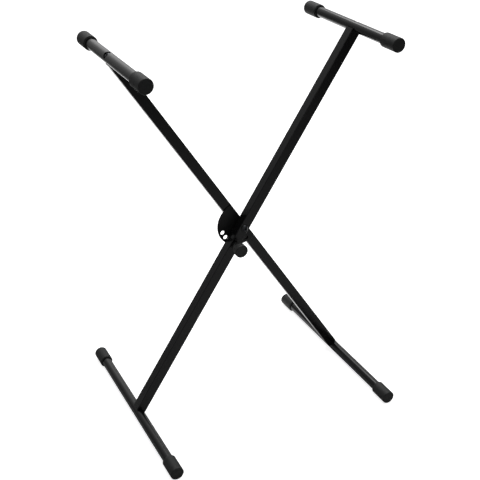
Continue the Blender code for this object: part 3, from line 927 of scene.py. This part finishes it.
class STAND_OT_plunger(bpy.types.Operator):
    """Pull knob, locking pin and guide bush"""

    bl_idname = "stand.plunger"
    bl_label = "Plunger"

    def execute(self, context):
        setting = plunger_setting(sizes().hole_circle)
        knob = turned("pull_knob_moulding", self.knob_outline())
        soften(knob, 0)
        pin = turned("locking_pin_turning", self.pin_outline())
        soften(pin, 0.0001)
        bush = turned("pin_guide_bush", self.bush_outline())
        soften(bush, 0.0003)
        for piece, node, body, finish, slot in (
            (knob, "pull_knob", "plunger", "nylon", "knob_plastic"),
            (pin, "locking_pin", "plunger", "zinc", "zinc_steel"),
            (bush, "pin_bush", "front_frame", "nylon", "knob_plastic"),
        ):
            settle(piece, setting)
            hand_over(piece, node, body, finish_of(finish))
        return {"FINISHED"}

    def knob_outline(self):
        """Dished face with a raised rim, rounded head and a tapered neck."""
        size = sizes()
        back = KNOB_FRONT + size.knob_head
        dish, rim, fillet, edge = KNOB_FRONT + 0.001, 0.0127, 0.0022, 0.0012
        crest, slope_start, slope_end, slope_rise = 0.0004, 0.0014, 0.0006, 0.0003
        hollow, neck_root, neck_end, neck_chamfer = 0.001, 0.0125, 0.0098, 0.0004
        bore = size.pin_radius + size.fit
        outline = [(0, dish), (rim - slope_start, dish), (rim - slope_end, dish - slope_rise)]
        outline += arc((rim + crest, KNOB_FRONT + crest), crest, pi * 0.9, pi * 1.5, 3)
        outline += arc((KNOB_RADIUS - fillet, KNOB_FRONT + fillet), fillet, -pi / 2, 0, 8)
        outline += arc((KNOB_RADIUS - edge, back - edge), edge, 0, pi / 2, 5)
        outline += arc((neck_root, back + hollow), hollow, -pi / 2, -pi, 3)
        outline += [(neck_end, KNOB_END - neck_chamfer), (neck_end - neck_chamfer, KNOB_END)]
        return outline + [(bore, KNOB_END), (bore, PIN_TAIL), (0, PIN_TAIL)]

    def pin_outline(self):
        """Plain pin with a groove for its ring and a chamfered tip."""
        size = sizes()
        radius, chamfer = size.pin_radius, 0.0012
        groove_depth, groove_width, groove_to_wall = 0.0008, 0.0018, 0.003
        groove_back = -GAP_HALF - size.arm_wall - groove_to_wall
        groove_front = groove_back - groove_width
        groove = radius - groove_depth
        outline = [(0, PIN_TAIL), (radius, PIN_TAIL), (radius, groove_front), (groove, groove_front)]
        outline += [(groove, groove_back), (radius, groove_back), (radius, PIN_TIP - chamfer)]
        return outline + [(radius - chamfer, PIN_TIP), (0, PIN_TIP)]

    def bush_outline(self):
        """Barrel in the arm's wall, with a flange on the arm's face."""
        size = sizes()
        lip, end = BUSH_FACES
        flange, play = 0.009, 0.0001
        bore = size.pin_radius + play
        face = FRONT_FACE - size.fit
        outline = [(bore, lip), (flange, lip), (flange, face), (BUSH_BARREL, face)]
        return outline + [(BUSH_BARREL, end), (bore, end), (bore, lip)]


class STAND_OT_hidden_fittings(bpy.types.Operator):
    """Finishes of the sleeves, inserts, ring and spring, whose CAD shapes stay"""

    bl_idname = "stand.hidden_fittings"
    bl_label = "Hidden Fittings"

    def execute(self, context):
        kept = {"front_pivot_sleeve": "zinc", "rear_pivot_sleeve": "zinc"}
        kept.update({"pin_ring": "spring", "pin_spring": "spring"})
        for tube in TUBES:
            kept[tube + "_sleeve"] = "zinc"
            kept[tube + "_insert"] = "insert"
        for node, finish in kept.items():
            item = frame["nodes"][node]
            item.data.materials.clear()
            item.data.materials.append(finish_of(finish))
        return {"FINISHED"}


def white_to_the_eye(tree, seen, lighting):
    """Mix a shader for what the camera, gloss and glass see with one for what lights the stand."""
    path = add_node(tree, "ShaderNodeLightPath")
    either = add_node(
        tree, "ShaderNodeMath",
        {0: path.outputs["Is Camera Ray"], 1: path.outputs["Is Glossy Ray"]}, operation="MAXIMUM",
    )
    every = add_node(
        tree, "ShaderNodeMath",
        {0: either.outputs[0], 1: path.outputs["Is Transmission Ray"]}, operation="MAXIMUM",
    )
    return add_node(tree, "ShaderNodeMixShader", {0: every.outputs[0], 1: lighting, 2: seen})


def whiteness(tree, behind):
    """How white a place is: fully to the camera, and to gloss as far as it is behind the stand."""
    path = add_node(tree, "ShaderNodeLightPath")
    return add_node(
        tree, "ShaderNodeMath", {0: path.outputs["Is Camera Ray"], 1: behind}, operation="MAXIMUM"
    ).outputs[0]


class STAND_OT_studio(bpy.types.Operator):
    """Floor, surroundings, lamps and camera"""

    bl_idname = "stand.studio"
    bl_label = "Studio"

    def execute(self, context):
        studio = context.scene.stand_studio
        self.make_floor(studio)
        self.make_surroundings(studio)
        self.make_lamps(studio)
        self.make_camera(studio)
        context.scene.view_settings.view_transform = "Standard"
        return {"FINISHED"}

    def make_floor(self, studio):
        drop = 0.0005    # keeps the paper clear of the undersides of the foot caps
        deselect_all()
        bpy.ops.mesh.primitive_circle_add(
            vertices=128, radius=studio.floor_radius, fill_type="NGON", location=(0, 0, -drop)
        )
        floor = named("studio_floor")
        floor.data.materials.append(self.floor_paper())

    def floor_paper(self):
        """White paper: white to the camera; to gloss, a painted reflection of a white backdrop behind
        the stand and painted shade, a dim grey, in front of it.
        """
        finishes = bpy.context.scene.stand_finishes
        material = new_material("white_studio_floor")
        tree = material.node_tree
        place = add_node(tree, "ShaderNodeTexCoord").outputs["Object"]
        split = add_node(tree, "ShaderNodeSeparateXYZ", {"Vector": place})
        across, deep = split.outputs["X"], split.outputs["Y"]
        away = add_node(tree, "ShaderNodeVectorMath", {0: place}, operation="LENGTH")
        # two slanting measures: towards the back left corner, and towards the right
        corner, slant = (
            add_node(
                tree, "ShaderNodeMath", {0: first, 1: share, 2: second}, operation="MULTIPLY_ADD"
            ).outputs[0]
            for first, share, second in ((across, -0.6, deep), (deep, 0.25, across))
        )
        # the paper's own light grows away from the stand, which keeps its shadow; to gloss, painted
        # shade darkens the dim floor to the front right, and a painted reflection of the backdrop makes
        # the floor white behind the stand and to its right
        glow, front, back, right = (
            add_node(
                tree, "ShaderNodeMapRange",
                {"Value": source, "From Min": start, "From Max": end, "To Min": low, "To Max": 1.0},
            ).outputs["Result"]
            for source, start, end, low in (
                (away.outputs["Value"], 0.6, 2.0, 0.8), (corner, -3.8, -1.0, 0.2),
                (deep, 0.0, 0.25, 0.0), (slant, 0.0, 0.4, 0.0),
            )
        )
        paper = add_node(tree, "ShaderNodeBsdfDiffuse", {"Color": linear(finishes.floor)})
        light = add_node(tree, "ShaderNodeEmission", {"Color": (1, 1, 1, 1), "Strength": glow})
        lit = add_node(tree, "ShaderNodeAddShader", {0: paper.outputs[0], 1: light.outputs[0]})
        # painted shade: the floor's grey as gloss sees it, fading to black towards the front right
        grey = add_node(
            tree, "ShaderNodeMix", {0: front, 6: (0, 0, 0, 1), 7: linear(finishes.painted_dim_floor)},
            data_type="RGBA",
        )
        dim = add_node(tree, "ShaderNodeBsdfDiffuse", {"Color": grey.outputs[2]})
        # painted reflection: where gloss sees the floor white, behind the stand and to its right
        behind = add_node(tree, "ShaderNodeMath", {0: back, 1: right}, operation="MULTIPLY")
        level = whiteness(tree, behind.outputs[0])
        seen = add_node(
            tree, "ShaderNodeMixShader", {0: level, 1: dim.outputs[0], 2: lit.outputs[0]}
        )
        mix = white_to_the_eye(tree, seen.outputs[0], paper.outputs[0])
        add_node(tree, "ShaderNodeOutputMaterial", {"Surface": mix.outputs[0]})
        return material

    def make_surroundings(self, studio):
        """A backdrop that is white to the camera, and a room that darkens away from its middle."""
        world = bpy.data.worlds.new("studio_surroundings")
        bpy.context.scene.world = world
        world.use_nodes = True
        tree = world.node_tree
        tree.nodes.clear()
        place = add_node(tree, "ShaderNodeTexCoord").outputs["Object"]
        along = add_node(
            tree, "ShaderNodeVectorMath", {0: place, 1: Vector(studio.backdrop).normalized()},
            operation="DOT_PRODUCT",
        )
        ahead = add_node(
            tree, "ShaderNodeMath", {0: along.outputs["Value"], 1: 0.0}, operation="MAXIMUM"
        )
        near = add_node(
            tree, "ShaderNodeMath", {0: ahead.outputs[0], 1: BACKDROP_FALL}, operation="POWER"
        )
        seen = add_node(
            tree, "ShaderNodeMapRange", {"Value": near.outputs[0], "To Min": studio.room, "To Max": 1.0}
        )
        level = whiteness(tree, seen.outputs["Result"])
        white = add_node(tree, "ShaderNodeBackground", {"Color": (1, 1, 1, 1), "Strength": level})
        light = add_node(
            tree, "ShaderNodeBackground", {"Color": (1, 1, 1, 1), "Strength": studio.ambient}
        )
        mix = white_to_the_eye(tree, white.outputs[0], light.outputs[0])
        add_node(tree, "ShaderNodeOutputWorld", {"Surface": mix.outputs[0]})

    def make_lamps(self, studio):
        for name, place, aim, width, height, power in (
            ("ceiling_softbox", (0.7, 0.6, 2.7), (0, 0, 0.3), 2.4, 2.4, studio.ceiling_power),
            ("rear_softbox", (0.2, 2.8, 1.8), (0, 0, 0.6), 1.2, 0.9, studio.rear_power),
            ("key_softbox", (-1.5, -2.2, 2.1), (0, 0, 0.5), 0.7, 0.7, studio.key_power),
        ):
            bpy.ops.object.light_add(type="AREA", location=place)
            lamp = bpy.context.active_object
            lamp.name = name
            lamp.data.shape = "RECTANGLE"
            lamp.data.size = width
            lamp.data.size_y = height
            lamp.data.energy = power
            away = Vector(aim) - Vector(place)
            lamp.rotation_euler = away.to_track_quat("-Z", "Y").to_euler()

    def make_camera(self, studio):
        bpy.ops.object.camera_add(location=studio.eye)
        camera = bpy.context.active_object
        camera.name = "studio_camera"
        turn = Matrix.Rotation(-studio.heading, 4, "Z")
        tilt = Matrix.Rotation(pi / 2 - studio.dip, 4, "X")
        roll = Matrix.Rotation(studio.roll, 4, "Z")
        camera.matrix_world = Matrix.Translation(studio.eye) @ turn @ tilt @ roll
        camera.data.lens = studio.lens
        camera.data.shift_x, camera.data.shift_y = studio.shift
        camera.data.dof.use_dof = False
        bpy.context.scene.camera = camera


STEPS = (
    STAND_OT_studio, STAND_OT_arms, STAND_OT_cross_tubes, STAND_OT_end_caps, STAND_OT_tube_bolts,
    STAND_OT_locking_plate, STAND_OT_pivot, STAND_OT_plunger, STAND_OT_hidden_fittings,
)
GROUPS = (StandSizes, StandFinishes, StandStudio)


class STAND_PT_panel(bpy.types.Panel):
    """Buttons for each group of pieces"""

    bl_label = "Keyboard Stand"
    bl_idname = "STAND_PT_panel"
    bl_space_type = "VIEW_3D"
    bl_region_type = "UI"
    bl_category = "Stand"

    def draw(self, context):
        for step in STEPS:
            self.layout.operator(step.bl_idname)
        scene = context.scene
        for group in (scene.stand_sizes, scene.stand_finishes, scene.stand_studio):
            box = self.layout.box()
            for name in group.__annotations__:
                box.prop(group, name)


def register():
    for item in GROUPS + STEPS + (STAND_PT_panel,):
        bpy.utils.register_class(item)
    bpy.types.Scene.stand_sizes = PointerProperty(type=StandSizes)
    bpy.types.Scene.stand_finishes = PointerProperty(type=StandFinishes)
    bpy.types.Scene.stand_studio = PointerProperty(type=StandStudio)


def unregister():
    for name in ("stand_sizes", "stand_finishes", "stand_studio"):
        delattr(bpy.types.Scene, name)
    for item in reversed(GROUPS + STEPS + (STAND_PT_panel,)):
        bpy.utils.unregister_class(item)


def main():
    register()
    bpy.ops.stand.studio()
    bpy.ops.stand.arms()
    bpy.ops.stand.cross_tubes()
    bpy.ops.stand.end_caps()
    bpy.ops.stand.tube_bolts()
    bpy.ops.stand.locking_plate()
    bpy.ops.stand.pivot()
    bpy.ops.stand.plunger()
    bpy.ops.stand.hidden_fittings()


if __name__ == "__main__":
    main()
